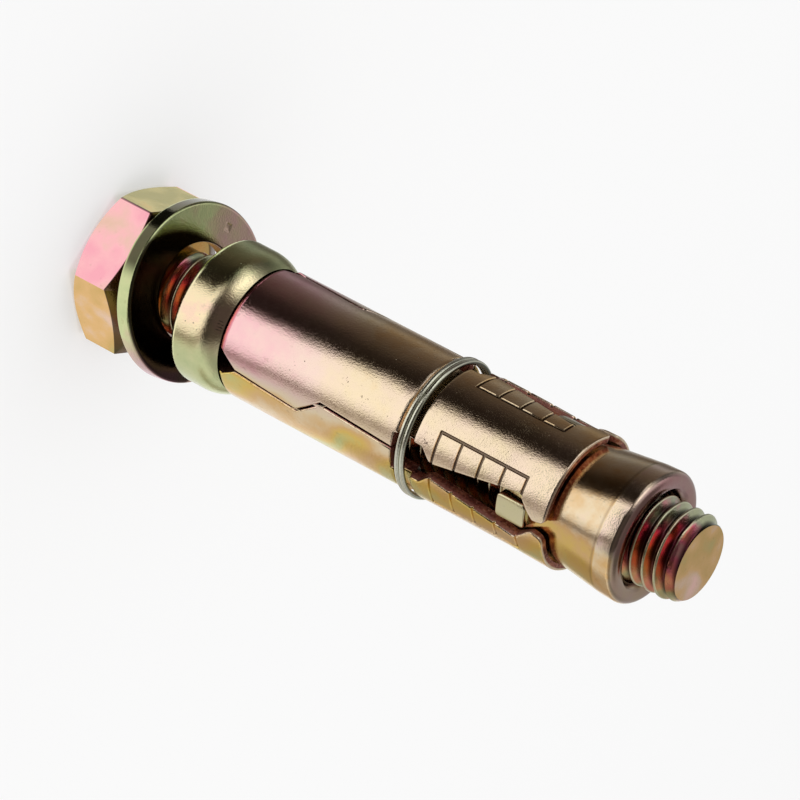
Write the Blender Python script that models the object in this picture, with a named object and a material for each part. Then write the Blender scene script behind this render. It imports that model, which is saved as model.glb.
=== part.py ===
"""Loose bolt shield anchor, size M10.

A hex bolt runs through a pressed ferrule and a shield of three stamped, curled
segments into a cone nut. Turning the bolt draws the nut towards the head, and
its cone spreads the segments in the drilled hole. A two-turn wire ring holds the
segments together until then.

The anchor stands on its head. The origin is the centre of the head's outer face,
and +Z runs along the bolt to its tip. Angles are in degrees round the bolt, from
the -Y side towards +X.
"""

from math import asin, atan2, cos, pi, radians, sin, tan

import bmesh
import bpy
from mathutils import Euler, Vector

MM = 0.001

# Gaps between pieces
SEAT_GAP = 0.25 * MM
SEAM_GAP = 0.25 * MM
CONE_GAP = 0.22 * MM
THREAD_GAP = 0.22 * MM

# Hex bolt
THREAD_DIAMETER = 9.86 * MM
BOLT_LENGTH = 71.4 * MM
HEAD_ACROSS_FLATS = 16.8 * MM
HEAD_HEIGHT = 6.2 * MM
HEAD_TOP_INSET = 0.4 * MM
HEAD_TOP_CHAMFER = 33.0
HEAD_BEARING_INSET = 1.2 * MM
HEAD_BEARING_CHAMFER = 20.0
HEAD_CORNER_ANGLE = 24.2
NECK_UNDERCUT = 0.43 * MM
NECK_LENGTH = 2.6 * MM
NECK_RUNOUT = 0.6 * MM
TIP_CHAMFER_WIDTH = 0.73 * MM
TIP_CHAMFER_LENGTH = 1.1 * MM

# Flat washer, caught at a lean on the bolt
WASHER_DIAMETER = 20.1 * MM
WASHER_BORE = THREAD_DIAMETER + 1.34 * MM
WASHER_THICKNESS = 1.9 * MM
WASHER_ROUNDING = 0.35 * MM
WASHER_BORE_ROUNDING = 0.25 * MM
WASHER_BURR = 0.12 * MM
WASHER_LEAN = 15.2
WASHER_LOW_SIDE = -32.7
WASHER_SIDEWAYS = 0.3 * MM

# Shield, measured along the bolt from the head's bearing face
FIXTURE_SPACE = 7.5 * MM
SHIELD_ANGLE = -21.1
SEGMENT_COUNT = 3
SEGMENT_WALL = 1.35 * MM
SEGMENT_ROOM = 1.22 * MM
SEGMENT_LENGTH = 48.5 * MM

# Ferrule
FERRULE_LENGTH = 6.0 * MM
FERRULE_WALL = 0.9 * MM
FERRULE_BORE = THREAD_DIAMETER + 1.34 * MM
FERRULE_CORNER = 0.8 * MM
FERRULE_CRIMP_LENGTH = 2.0 * MM
FERRULE_MOUTH_EDGE = 0.4 * MM

# Segment's head end, measured along the segment from its head end
LIP_LENGTH = 1.2 * MM
LIP_SLOPE = 0.6 * MM
LIP_HEIGHT = 0.55 * MM
NECK_END = 4.15 * MM
SHOULDER_END = 5.45 * MM
SHOULDER_DEPTH = 0.9 * MM
NECK_WALL = 1.215 * MM
TAB_FAR_ANGLE = -46.0
TAB_NEAR_ANGLE = 51.0
TAB_CORNER = 0.4 * MM

# Stepped seam between segments, measured from the head end; angles from the middle
SEAM_START = 7.4 * MM
SEAM_START_ANGLE = 64.0
SEAM_STEP_START = 15.85 * MM
SEAM_STEP_START_ANGLE = 70.3
SEAM_STEP_END = 18.95 * MM
SEAM_STEP_END_ANGLE = 52.4
SEAM_END_ANGLE = 57.0

# Ring groove, and the square relief that each seam ends in, measured from the tip end
RELIEF_FROM_END = 19.9 * MM
RELIEF_LENGTH = 3.6 * MM
RELIEF_ANGLE = 42.9
RELIEF_CORNER = 0.5 * MM
GROOVE_FROM_END = 19.45 * MM
GROOVE_WIDTH = 2.1 * MM
GROOVE_DEPTH = 0.45 * MM
GROOVE_WALL = 0.15 * MM

# Segment's expanding end, measured from the tip end: a tapering waist, then a foot
# that spreads behind each key
WAIST_START = 14.95 * MM
WAIST_START_ANGLE = 53.5
WAIST_END = 3.8 * MM
WAIST_END_ANGLE = 38.5
WAIST_CORNER = 1.0 * MM
FOOT_BACK = 2.2 * MM
FOOT_BACK_ANGLE = 50.5
FOOT_ANGLE = 54.7
FOOT_END_ANGLE = 52.7
FOOT_CORNER = 0.75 * MM
FOOT_BACK_CORNER = 0.5 * MM
FOOT_SIDE_CORNER = 0.375 * MM
FOOT_FLARE = 0.15 * MM
FOOT_WALL = 0.8 * MM

# Where a segment pivots inside the ferrule
PIVOT_BELOW_LIP = 0.85 * MM
PIVOT_FROM_END = 0.6 * MM

# Wire ring
WIRE_DIAMETER = 0.62 * MM
RING_TURN_PITCH = 0.6 * MM
RING_GAP = 0.3 * MM
RING_FROM_GROOVE = 0.3 * MM

# Cone nut
NUT_LENGTH = 15.7 * MM
NUT_IN_SHIELD = 6.8 * MM
NUT_CONE_ANGLE = 7.0
NUT_BAND_LENGTH = 2.65 * MM
NUT_BAND_ANGLE = 2.5
NUT_EDGE_RADIUS = 0.95 * MM
NUT_COUNTERSINK = 0.65 * MM
KEY_WIDTH = 2.8 * MM
KEY_LENGTH = 3.7 * MM
KEY_FROM_END = 0.3 * MM
KEY_BELOW_SHIELD = 0.5 * MM
KEY_CORNER = 0.45 * MM

# Facets
TURN_STEPS = 64
SEGMENT_COLUMN_ANGLE = 6.0
ARC_STEPS = 4
SAME_PLACE = 0.02 * MM

# Places along +Z that pieces share
SHIELD_START = HEAD_HEIGHT + FIXTURE_SPACE
SEGMENT_START = SHIELD_START + FERRULE_WALL + SEAT_GAP
SEGMENT_END = SEGMENT_START + SEGMENT_LENGTH
NUT_START = SEGMENT_END - NUT_IN_SHIELD
NUT_END = NUT_START + NUT_LENGTH

# Radii that pieces share
BEARING_RADIUS = HEAD_ACROSS_FLATS / 2 - HEAD_BEARING_INSET
SHIELD_RADIUS = THREAD_DIAMETER / 2 + SEGMENT_ROOM + SEGMENT_WALL
NECK_RADIUS = SHIELD_RADIUS - SHOULDER_DEPTH
LIP_RADIUS = NECK_RADIUS + LIP_HEIGHT
PIVOT_RADIUS = LIP_RADIUS - PIVOT_BELOW_LIP
GROOVE_RADIUS = SHIELD_RADIUS - GROOVE_DEPTH
FOOT_RADIUS = SHIELD_RADIUS + FOOT_FLARE
CONE_SLOPE = tan(radians(NUT_CONE_ANGLE))
CONE_AT_SEGMENT_END = FOOT_RADIUS - FOOT_WALL - CONE_GAP


def clear_scene():
    for item in list(bpy.data.objects):
        bpy.data.objects.remove(item, do_unlink=True)


def zinc(name, color, roughness=0.3):
    """Yellow passivated zinc on steel."""
    material = bpy.data.materials.new(name)
    material.use_nodes = True
    shader = material.node_tree.nodes["Principled BSDF"]
    shader.inputs["Base Color"].default_value = (*color, 1.0)
    shader.inputs["Metallic"].default_value = 1.0
    shader.inputs["Roughness"].default_value = roughness
    return material


def around(radius, angle, height):
    """A point at an angle in degrees from the -Y side towards +X."""
    turn = radians(angle)
    return Vector((radius * sin(turn), -radius * cos(turn), height))


def arc(centre, radius, start, end, steps=ARC_STEPS):
    """Points of a circular arc in a flat outline, angles in degrees."""
    turns = [radians(start + (end - start) * i / steps) for i in range(steps + 1)]
    return [(centre[0] + radius * cos(t), centre[1] + radius * sin(t)) for t in turns]


def fillet(before, corner, after, radius, steps=ARC_STEPS):
    """Points that round one corner of a flat outline."""
    corner = Vector(corner)
    to_before = (Vector(before) - corner).normalized()
    to_after = (Vector(after) - corner).normalized()
    half = to_before.angle(to_after) / 2
    bisector = (to_before + to_after).normalized()
    centre = corner + bisector * radius / sin(half)
    first = corner + to_before * radius / tan(half) - centre
    last = corner + to_after * radius / tan(half) - centre
    start = atan2(first.y, first.x)
    sweep = (atan2(last.y, last.x) - start + pi) % (2 * pi) - pi
    turns = [start + sweep * i / steps for i in range(steps + 1)]
    return [(centre.x + radius * cos(t), centre.y + radius * sin(t)) for t in turns]


def rounded(outline):
    """A closed outline from (x, y, corner radius) points."""
    points = []
    for index, (x, y, radius) in enumerate(outline):
        before = outline[index - 1][:2]
        after = outline[(index + 1) % len(outline)][:2]
        points += fillet(before, (x, y), after, radius) if radius else [(x, y)]
    return points


def add_object(name, mesh, material, smooth_angle=30.0):
    item = bpy.data.objects.new(name, mesh)
    bpy.context.scene.collection.objects.link(item)
    if not mesh.materials:
        mesh.materials.append(material)
    mesh.shade_smooth()
    mesh.set_sharp_from_angle(angle=radians(smooth_angle))
    return item


def turned_mesh(name, outline, closed=True):
    """Turns an outline of (radius, height) points round the Z axis."""
    bm = bmesh.new()
    verts = [bm.verts.new((radius, 0.0, height)) for radius, height in outline]
    edges = [bm.edges.new(pair) for pair in zip(verts, verts[1:])]
    if closed:
        edges.append(bm.edges.new((verts[-1], verts[0])))
    bmesh.ops.spin(bm, geom=verts + edges, cent=(0, 0, 0), axis=(0, 0, 1),
                   angle=2 * pi, steps=TURN_STEPS, use_merge=True)
    bmesh.ops.remove_doubles(bm, verts=bm.verts, dist=1e-6)
    bmesh.ops.recalc_face_normals(bm, faces=bm.faces)
    mesh = bpy.data.meshes.new(name)
    bm.to_mesh(mesh)
    bm.free()
    return mesh


def guide(name, mesh):
    """A helper that only cuts or joins: it isn't part of the model."""
    item = bpy.data.objects.new(name, mesh)
    bpy.context.scene.collection.objects.link(item)
    item.hide_render = True
    item.display_type = "WIRE"
    return item


def combine(item, helper, operation):
    modifier = item.modifiers.new(operation.lower(), "BOOLEAN")
    modifier.operation = operation
    modifier.solver = "EXACT"
    modifier.object = helper


def hex_bolt():
    """Head and shank turned in one, then the head milled to a hexagon."""
    thread = THREAD_DIAMETER / 2
    neck = thread - NECK_UNDERCUT
    corner = HEAD_ACROSS_FLATS / 2 / cos(radians(30))
    blank = corner * 1.02
    top = HEAD_ACROSS_FLATS / 2 - HEAD_TOP_INSET
    bearing = BEARING_RADIUS
    tip = HEAD_HEIGHT + BOLT_LENGTH
    outline = [
        (0.0, 0.0),
        (top, 0.0),
        (blank, (blank - top) * tan(radians(HEAD_TOP_CHAMFER))),
        (blank, HEAD_HEIGHT - (blank - bearing) * tan(radians(HEAD_BEARING_CHAMFER))),
        (bearing, HEAD_HEIGHT),
        (neck, HEAD_HEIGHT),
        (neck, HEAD_HEIGHT + NECK_LENGTH),
        (thread, HEAD_HEIGHT + NECK_LENGTH + NECK_RUNOUT),
        (thread, tip - TIP_CHAMFER_LENGTH),
        (thread - TIP_CHAMFER_WIDTH, tip),
        (0.0, tip),
    ]
    bolt = add_object("hex_bolt", turned_mesh("hex_bolt", outline, closed=False),
                      zinc("bolt zinc", (0.72, 0.56, 0.36)))
    bm = bmesh.new()
    bmesh.ops.create_cone(bm, cap_ends=True, segments=6, radius1=corner, radius2=corner,
                          depth=tip * 1.1)
    prism = bpy.data.meshes.new("hexagon")
    bm.to_mesh(prism)
    bm.free()
    hexagon = guide("hexagon", prism)
    hexagon.location.z = tip / 2
    hexagon.rotation_euler.z = radians(HEAD_CORNER_ANGLE)
    combine(bolt, hexagon, "INTERSECT")
    return bolt


def flat_washer():
    """A punched washer: one face's rim is rounded, the other has a small burr."""
    outer = WASHER_DIAMETER / 2
    bore = WASHER_BORE / 2
    outline = rounded([
        (bore, 0.0, WASHER_BORE_ROUNDING),
        (outer, 0.0, WASHER_BURR),
        (outer, WASHER_THICKNESS, WASHER_ROUNDING),
        (bore, WASHER_THICKNESS, WASHER_BURR),
    ])
    washer = add_object("flat_washer", turned_mesh("flat_washer", outline),
                        zinc("washer zinc", (0.62, 0.64, 0.42)))
    lean = radians(WASHER_LEAN)
    back_on_axis = HEAD_HEIGHT + SEAT_GAP / cos(lean) + BEARING_RADIUS * tan(lean)
    low = around(1.0, WASHER_LOW_SIDE, 0.0)
    across = Vector((-low.y, low.x, 0.0))
    # Half the thickness times the lean keeps the bore centred on the bolt
    inset = WASHER_THICKNESS / 2 * sin(lean)
    centre = low * -inset + Vector((0, 0, back_on_axis + inset * tan(lean)))
    washer.location = centre + across * -WASHER_SIDEWAYS
    tilt = Vector((0, 0, 1)).rotation_difference(Vector((low.x * sin(lean),
                                                          low.y * sin(lean), cos(lean))))
    washer.rotation_euler = tilt.to_euler()
    return washer


def end_ferrule():
    """A pressed cup with its mouth crimped in behind the segments' lips."""
    inner = LIP_RADIUS + SEAT_GAP
    outer = inner + FERRULE_WALL
    mouth = NECK_RADIUS + SEAT_GAP
    crimp_start = FERRULE_LENGTH - FERRULE_CRIMP_LENGTH
    # The outer skin bends in on one arc, and the inner skin runs parallel to it
    drop = outer - mouth - FERRULE_MOUTH_EDGE
    bend = (FERRULE_CRIMP_LENGTH ** 2 + drop ** 2) / (2 * drop)
    turn = 180 / pi * asin(FERRULE_CRIMP_LENGTH / bend)
    centre = (outer - bend, crimp_start)
    inner_bend = bend - FERRULE_WALL
    outline = [(FERRULE_BORE / 2, 0.0)]
    outline += arc((outer - FERRULE_CORNER, FERRULE_CORNER), FERRULE_CORNER, -90, 0)
    outline += arc(centre, bend, 0, turn, steps=6)
    outline += arc(centre, inner_bend, turn, 0, steps=6)
    outline += [(inner, FERRULE_WALL), (FERRULE_BORE / 2, FERRULE_WALL)]
    ferrule = add_object("end_ferrule", turned_mesh("end_ferrule", outline),
                         zinc("ferrule zinc", (0.74, 0.70, 0.44)))
    ferrule.location.z = SHIELD_START
    return ferrule


def segment_profile():
    """Rows of (distance along the segment, outer radius, inner radius)."""
    wall = SEGMENT_WALL
    bore = SHIELD_RADIUS - wall
    groove_start = SEGMENT_LENGTH - GROOVE_FROM_END
    groove_end = groove_start + GROOVE_WIDTH
    foot_bore = FOOT_RADIUS - FOOT_WALL
    taper_start = SEGMENT_LENGTH - (foot_bore - bore) / CONE_SLOPE
    return [
        (0.0, LIP_RADIUS, LIP_RADIUS - wall),
        (LIP_LENGTH, LIP_RADIUS, LIP_RADIUS - wall),
        (LIP_LENGTH + LIP_SLOPE, NECK_RADIUS, NECK_RADIUS - NECK_WALL),
        (NECK_END, NECK_RADIUS, NECK_RADIUS - NECK_WALL),
        (SHOULDER_END, SHIELD_RADIUS, bore),
        (groove_start, SHIELD_RADIUS, bore),
        (groove_start + GROOVE_WALL, GROOVE_RADIUS, bore - GROOVE_DEPTH),
        (groove_end - GROOVE_WALL, GROOVE_RADIUS, bore - GROOVE_DEPTH),
        (groove_end, SHIELD_RADIUS, bore),
        (taper_start, SHIELD_RADIUS, bore),
        (SEGMENT_LENGTH, FOOT_RADIUS, foot_bore),
    ]


def radii_at(profile, along):
    for (start, out_a, in_a), (end, out_b, in_b) in zip(profile, profile[1:]):
        if along <= end:
            share = (along - start) / (end - start)
            return out_a + (out_b - out_a) * share, in_a + (in_b - in_a) * share
    return profile[-1][1:]


def segment_outline():
    """The segment's blank, laid flat: (arc length round the shield, distance along)."""
    pitch = 360 / SEGMENT_COUNT
    half_gap = SEAM_GAP / 2

    def flat(angle, along, corner=0.0, shift=0.0):
        return radians(angle) * SHIELD_RADIUS + shift, along, corner

    end = SEGMENT_LENGTH
    seam = [
        (SEAM_START_ANGLE, SEAM_START),
        (SEAM_STEP_START_ANGLE, SEAM_STEP_START),
        (SEAM_STEP_END_ANGLE, SEAM_STEP_END),
        (SEAM_END_ANGLE, end - RELIEF_FROM_END),
    ]
    near_side = [flat(angle, along, shift=-half_gap) for angle, along in seam]
    far_side = [flat(angle - pitch, along, shift=half_gap) for angle, along in seam]

    def expanding_end(side):
        return [
            flat(side * RELIEF_ANGLE, end - RELIEF_FROM_END),
            flat(side * RELIEF_ANGLE, end - RELIEF_FROM_END + RELIEF_LENGTH, RELIEF_CORNER),
            flat(side * WAIST_START_ANGLE, end - WAIST_START, WAIST_CORNER),
            flat(side * WAIST_END_ANGLE, end - WAIST_END, FOOT_BACK_CORNER),
            flat(side * FOOT_BACK_ANGLE, end - FOOT_BACK),
            flat(side * FOOT_ANGLE, end - FOOT_BACK + FOOT_CORNER, FOOT_SIDE_CORNER),
            flat(side * FOOT_END_ANGLE, end, FOOT_CORNER),
        ]

    return rounded(
        [flat(TAB_FAR_ANGLE, 0.0, TAB_CORNER), flat(TAB_NEAR_ANGLE, 0.0, TAB_CORNER)]
        + [flat(TAB_NEAR_ANGLE, SHOULDER_END)]
        + near_side
        + expanding_end(1)
        + expanding_end(-1)[::-1]
        + far_side[::-1]
        + [flat(TAB_FAR_ANGLE, SHOULDER_END)]
    )


def segment_mesh():
    """Blanks the outline, gives it the wall's thickness and curls it round the bolt."""
    bm = bmesh.new()
    outline = segment_outline()
    bm.faces.new([bm.verts.new((x, 0.0, along)) for x, along in outline])
    step = radians(SEGMENT_COLUMN_ANGLE) * SHIELD_RADIUS
    reach = max(abs(x) for x, along in outline)
    columns = range(-int(reach / step), int(reach / step) + 1)
    cuts = [((column * step, 0, 0), (1, 0, 0)) for column in columns]
    profile = segment_profile()
    cuts += [((0, 0, row[0]), (0, 0, 1)) for row in profile[1:-1]]
    for place, normal in cuts:
        bmesh.ops.bisect_plane(bm, geom=bm.verts[:] + bm.edges[:] + bm.faces[:],
                               dist=SAME_PLACE, plane_co=place, plane_no=normal)
    inner_verts = set(bm.verts)
    bmesh.ops.extrude_face_region(bm, geom=bm.faces[:] + bm.edges[:] + bm.verts[:],
                                  use_keep_orig=True)
    pivot = Vector((0, -PIVOT_RADIUS, PIVOT_FROM_END))
    for vert in bm.verts:
        outer, inner = radii_at(profile, vert.co.z)
        radius = inner if vert in inner_verts else outer
        angle = vert.co.x / SHIELD_RADIUS * 180 / pi
        vert.co = around(radius, angle, vert.co.z) - pivot
    bmesh.ops.recalc_face_normals(bm, faces=bm.faces)
    mesh = bpy.data.meshes.new("shield_segment")
    bm.to_mesh(mesh)
    bm.free()
    return mesh


def shield_segments():
    mesh = segment_mesh()
    material = zinc("segment zinc", (0.76, 0.64, 0.42))
    for index in range(SEGMENT_COUNT):
        angle = SHIELD_ANGLE + index * 360 / SEGMENT_COUNT
        segment = add_object(f"shield_segment_{index + 1}", mesh, material, smooth_angle=20)
        segment.location = around(PIVOT_RADIUS, angle, SEGMENT_START + PIVOT_FROM_END)
        segment.rotation_euler = Euler((0, 0, radians(angle)))


def clip_ring():
    """Two turns of wire side by side, as one ring."""
    wire = WIRE_DIAMETER / 2
    centre = GROOVE_RADIUS + RING_GAP + wire
    half = RING_TURN_PITCH / 2
    waist = 180 / pi * asin(half / wire)
    outline = arc((centre, -half), wire, waist - 360, -waist, steps=12)[1:]
    outline += arc((centre, half), wire, waist - 180, 180 - waist, steps=12)[1:]
    ring = add_object("clip_ring", turned_mesh("clip_ring", outline),
                      zinc("wire zinc", (0.78, 0.78, 0.66)), smooth_angle=50)
    ring.location.z = SEGMENT_END - GROOVE_FROM_END + RING_FROM_GROOVE + wire + half
    return ring


def cone_nut():
    """A turned cone with a rounded base, and a key in each gap of the shield."""
    bore = THREAD_DIAMETER / 2 + THREAD_GAP
    band_start = NUT_LENGTH - NUT_BAND_LENGTH
    small = CONE_AT_SEGMENT_END - NUT_IN_SHIELD * CONE_SLOPE
    large = small + band_start * CONE_SLOPE
    edge_centre = NUT_LENGTH - NUT_EDGE_RADIUS
    band_end = large + (edge_centre - band_start) * tan(radians(NUT_BAND_ANGLE))
    outline = [(bore, 0.0), (small, 0.0), (large, band_start)]
    outline += arc((band_end - NUT_EDGE_RADIUS, edge_centre), NUT_EDGE_RADIUS, 0, 90, steps=6)
    outline += [(bore + NUT_COUNTERSINK, NUT_LENGTH), (bore, NUT_LENGTH - NUT_COUNTERSINK)]
    nut = add_object("cone_nut", turned_mesh("cone_nut", outline),
                     zinc("nut zinc", (0.78, 0.68, 0.46)))
    nut.location.z = NUT_START

    key_radius = SHIELD_RADIUS - KEY_BELOW_SHIELD
    key_root = (bore + small) / 2
    half_turn = asin(KEY_WIDTH / 2 / key_radius)
    sides = [(-half_turn, KEY_FROM_END), (half_turn, KEY_FROM_END),
             (half_turn, KEY_FROM_END + KEY_LENGTH), (-half_turn, KEY_FROM_END + KEY_LENGTH)]
    outline = rounded([(turn * key_radius, along, KEY_CORNER) for turn, along in sides])
    bm = bmesh.new()
    for index in range(SEGMENT_COUNT):
        middle = SHIELD_ANGLE + (index + 0.5) * 360 / SEGMENT_COUNT
        root = []
        crown = []
        for x, along in outline:
            angle = middle + x / key_radius * 180 / pi
            crown.append(bm.verts.new(around(key_radius, angle, along)))
            # The key's sides are parallel, so its root keeps the crown's width
            spread = asin(sin(x / key_radius) * key_radius / key_root) * 180 / pi
            root.append(bm.verts.new(around(key_root, middle + spread, along)))
        bm.faces.new(crown)
        bm.faces.new(root)
        for i in range(len(outline)):
            j = (i + 1) % len(outline)
            bm.faces.new((root[i], root[j], crown[j], crown[i]))
    bmesh.ops.recalc_face_normals(bm, faces=bm.faces)
    mesh = bpy.data.meshes.new("keys")
    bm.to_mesh(mesh)
    bm.free()
    keys = guide("keys", mesh)
    keys.location.z = NUT_START
    combine(nut, keys, "UNION")
    return nut


def main():
    clear_scene()
    hex_bolt()
    flat_washer()
    end_ferrule()
    shield_segments()
    clip_ring()
    cone_nut()


main()
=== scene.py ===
# %% [markdown]
# # A loose bolt shield anchor in yellow passivated zinc
#
# The anchor is a hex bolt that runs through a pressed ferrule and three curled steel
# segments into a cone nut. A two-turn wire ring holds the segments together. All of it is
# plated with zinc and dipped in a passivation that leaves a thin film, which shines pink,
# gold and green.
#
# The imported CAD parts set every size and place. Each piece here is modelled again with
# enough detail for a close look, rides on the same body and stands for the same CAD part.

# %% Load the frame
from math import atan2, cos, pi, radians, sin, tan

import bmesh
import bpy
from mathutils import Matrix, Vector


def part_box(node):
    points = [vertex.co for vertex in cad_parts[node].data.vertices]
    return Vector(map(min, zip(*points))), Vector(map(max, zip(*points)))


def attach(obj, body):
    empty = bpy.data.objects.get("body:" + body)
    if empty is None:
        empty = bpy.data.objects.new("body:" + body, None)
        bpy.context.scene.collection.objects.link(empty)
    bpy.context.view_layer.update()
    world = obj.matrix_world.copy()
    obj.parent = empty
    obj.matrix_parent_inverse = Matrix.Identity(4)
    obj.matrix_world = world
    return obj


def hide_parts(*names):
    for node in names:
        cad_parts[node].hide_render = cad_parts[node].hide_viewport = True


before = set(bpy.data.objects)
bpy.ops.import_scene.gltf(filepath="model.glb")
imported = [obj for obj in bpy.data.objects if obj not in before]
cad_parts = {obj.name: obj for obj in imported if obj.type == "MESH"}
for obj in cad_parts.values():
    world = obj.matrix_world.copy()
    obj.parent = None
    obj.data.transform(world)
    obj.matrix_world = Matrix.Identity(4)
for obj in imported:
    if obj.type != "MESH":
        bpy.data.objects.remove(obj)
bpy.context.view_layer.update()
scene = bpy.context.scene
scene.view_settings.view_transform = "Standard"
MM = 0.001

# %% [markdown]
# ## Places that the pieces share
#
# A reader of a technical drawing starts from its datum lines. Here they come from the CAD
# parts themselves, so a change in the model carries through. Angles are in degrees round
# the bolt, from the -Y side, which the camera sees, towards +X.

# %% Places
bolt_low, bolt_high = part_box("hex_bolt")
segment_low, segment_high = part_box("shield_segment_1")
nut_low, nut_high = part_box("cone_nut")
ferrule_low, ferrule_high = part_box("end_ferrule")
ring_low, ring_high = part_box("clip_ring")

TIP = bolt_high.z
SEGMENT_START = segment_low.z
SEGMENT_LENGTH = segment_high.z - segment_low.z
NUT_START = nut_low.z
NUT_LENGTH = nut_high.z - nut_low.z
FERRULE_START = ferrule_low.z
RING_MIDDLE = (ring_low.z + ring_high.z) / 2
SHIELD_ANGLE = -21.1
SHIELD_RADIUS = 7.5 * MM
THREAD_RADIUS = 4.93 * MM
print("tip at", TIP, "segments from", SEGMENT_START, "nut from", NUT_START)

# %% [markdown]
# ## Helpers for outlines
#
# Most of these pieces are turned or pressed, so each starts as a flat outline. A sharp
# corner never looks like metal, because real corners catch the light. `rounded` puts an arc
# on each corner, and a support point on both sides of the arc keeps the shading of the flat
# run beside it straight.

# %% Outline helpers
def around(radius, angle, height):
    """A point at an angle round the bolt."""
    turn = radians(angle)
    return Vector((radius * sin(turn), -radius * cos(turn), height))


def arc(centre, radius, start, end, steps=8):
    """Points of a circular arc, angles in degrees."""
    turns = [radians(start + (end - start) * i / steps) for i in range(steps + 1)]
    return [(centre[0] + radius * cos(t), centre[1] + radius * sin(t)) for t in turns]


def fillet(before, corner, after, radius, steps=5, support=0.05 * MM):
    """Points that round one corner, with a support point at each end."""
    corner = Vector(corner)
    to_before = (Vector(before) - corner).normalized()
    to_after = (Vector(after) - corner).normalized()
    half = to_before.angle(to_after) / 2
    bisector = (to_before + to_after).normalized()
    centre = corner + bisector * radius / sin(half)
    reach = radius / tan(half)
    first = corner + to_before * reach - centre
    last = corner + to_after * reach - centre
    start = atan2(first.y, first.x)
    sweep = (atan2(last.y, last.x) - start + pi) % (2 * pi) - pi
    turns = [start + sweep * i / steps for i in range(steps + 1)]
    points = [(centre.x + radius * cos(t), centre.y + radius * sin(t)) for t in turns]
    if support:
        points.insert(0, tuple(corner + to_before * (reach + support)))
        points.append(tuple(corner + to_after * (reach + support)))
    return points


def rounded(outline, steps=5, support=0.05 * MM):
    """An outline from (x, y, corner radius) points."""
    points = []
    for index, (x, y, radius) in enumerate(outline):
        before = outline[index - 1][:2]
        after = outline[(index + 1) % len(outline)][:2]
        if radius:
            points += fillet(before, (x, y), after, radius, steps, support)
        else:
            points.append((x, y))
    return points


# %% [markdown]
# ## Helpers for meshes
#
# A lathe turns an outline round the bolt's axis, which bmesh calls a spin. 192 steps keep
# the reflections on a 15 mm tube free of facets. `cut_and_close` is the straight cut of a
# mill or a shear. `finish_piece` gives every piece the same end: one mesh at the origin,
# smooth shading with sharp edges kept, and its place in the frame.

# %% Mesh helpers
TURN_STEPS = 192


def lathe(outline, closed=True, steps=TURN_STEPS):
    """Turns (radius, height) points round the Z axis."""
    bm = bmesh.new()
    verts = [bm.verts.new((radius, 0.0, height)) for radius, height in outline]
    edges = [bm.edges.new(pair) for pair in zip(verts, verts[1:])]
    if closed:
        edges.append(bm.edges.new((verts[-1], verts[0])))
    bmesh.ops.spin(bm, geom=verts + edges, cent=(0, 0, 0), axis=(0, 0, 1),
                   angle=2 * pi, steps=steps, use_merge=True)
    bmesh.ops.remove_doubles(bm, verts=bm.verts, dist=1e-6)
    bmesh.ops.recalc_face_normals(bm, faces=bm.faces)
    return bm


def whole(bm):
    """All of a bmesh, for an operator that works on the whole of it."""
    return bm.verts[:] + bm.edges[:] + bm.faces[:]


def cut_and_close(bm, point, outward):
    """Cuts away what lies beyond a plane and closes the cut with one face."""
    cut = bmesh.ops.bisect_plane(bm, geom=whole(bm), dist=1e-7, plane_co=point,
                                 plane_no=outward, clear_outer=True)
    rim = [e for e in cut["geom_cut"] if isinstance(e, bmesh.types.BMEdge)]
    bmesh.ops.contextual_create(bm, geom=rim)


def join_into(bm, other):
    """Adds another bmesh's geometry to bm."""
    mesh = bpy.data.meshes.new("part")
    other.to_mesh(mesh)
    other.free()
    bm.from_mesh(mesh)
    bpy.data.meshes.remove(mesh)


def finish_piece(name, bm, body, node, materials, sharp=35.0):
    """Makes a bmesh an object that rides on a body and stands for a CAD node."""
    mesh = bpy.data.meshes.new(name)
    bm.to_mesh(mesh)
    bm.free()
    piece = bpy.data.objects.new(name, mesh)
    scene.collection.objects.link(piece)
    for material in materials:
        mesh.materials.append(material)
    mesh.shade_smooth()
    mesh.set_sharp_from_angle(angle=radians(sharp))
    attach(piece, body)
    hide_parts(node)
    print(name, len(mesh.polygons), "faces")
    return piece


# %% [markdown]
# ## A small language for materials
#
# Blender's shader maths is a graph of nodes, and a long graph is hard to read in Python.
# A `Signal` wraps one socket, so that `a * 0.5 + b` adds the Math nodes by itself.
# `Recipe.add` makes any other node from its type, its settings and its inputs.

# %% Material helpers
class Recipe:
    """One material's nodes."""

    def __init__(self, name):
        self.material = bpy.data.materials.new(name)
        self.material.use_nodes = True
        self.tree = self.material.node_tree
        self.tree.nodes.clear()

    def add(self, kind, settings=None, inputs=None, output=0):
        node = self.tree.nodes.new(kind)
        for key, value in (settings or {}).items():
            if key == "stops":
                elements = node.color_ramp.elements
                while len(elements) < len(value):
                    elements.new(0.5)
                for element, (place, color) in zip(elements, value):
                    element.position = place
                    element.color = (*color, 1.0) if len(color) == 3 else color
            elif key == "interpolation":
                node.color_ramp.interpolation = value
            else:
                setattr(node, key, value)
        for key, value in (inputs or {}).items():
            if isinstance(value, Signal):
                self.tree.links.new(value.socket, node.inputs[key])
            else:
                node.inputs[key].default_value = value
        return Signal(self, node.outputs[output]) if node.outputs else node

    def math(self, operation, *values, clamp=False):
        return self.add("ShaderNodeMath", {"operation": operation, "use_clamp": clamp},
                        dict(enumerate(values)))

    def mix(self, share, first, second):
        """Mixes two colours: share 0 gives the first, 1 the second."""
        return self.add("ShaderNodeMix", {"data_type": "RGBA"},
                        {0: share, 6: first, 7: second}, output=2)

    def ramp(self, value, stops, interpolation="LINEAR"):
        """A colour for each value, from (place, colour) stops."""
        return self.add("ShaderNodeValToRGB",
                        {"stops": stops, "interpolation": interpolation}, {0: value})


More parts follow.
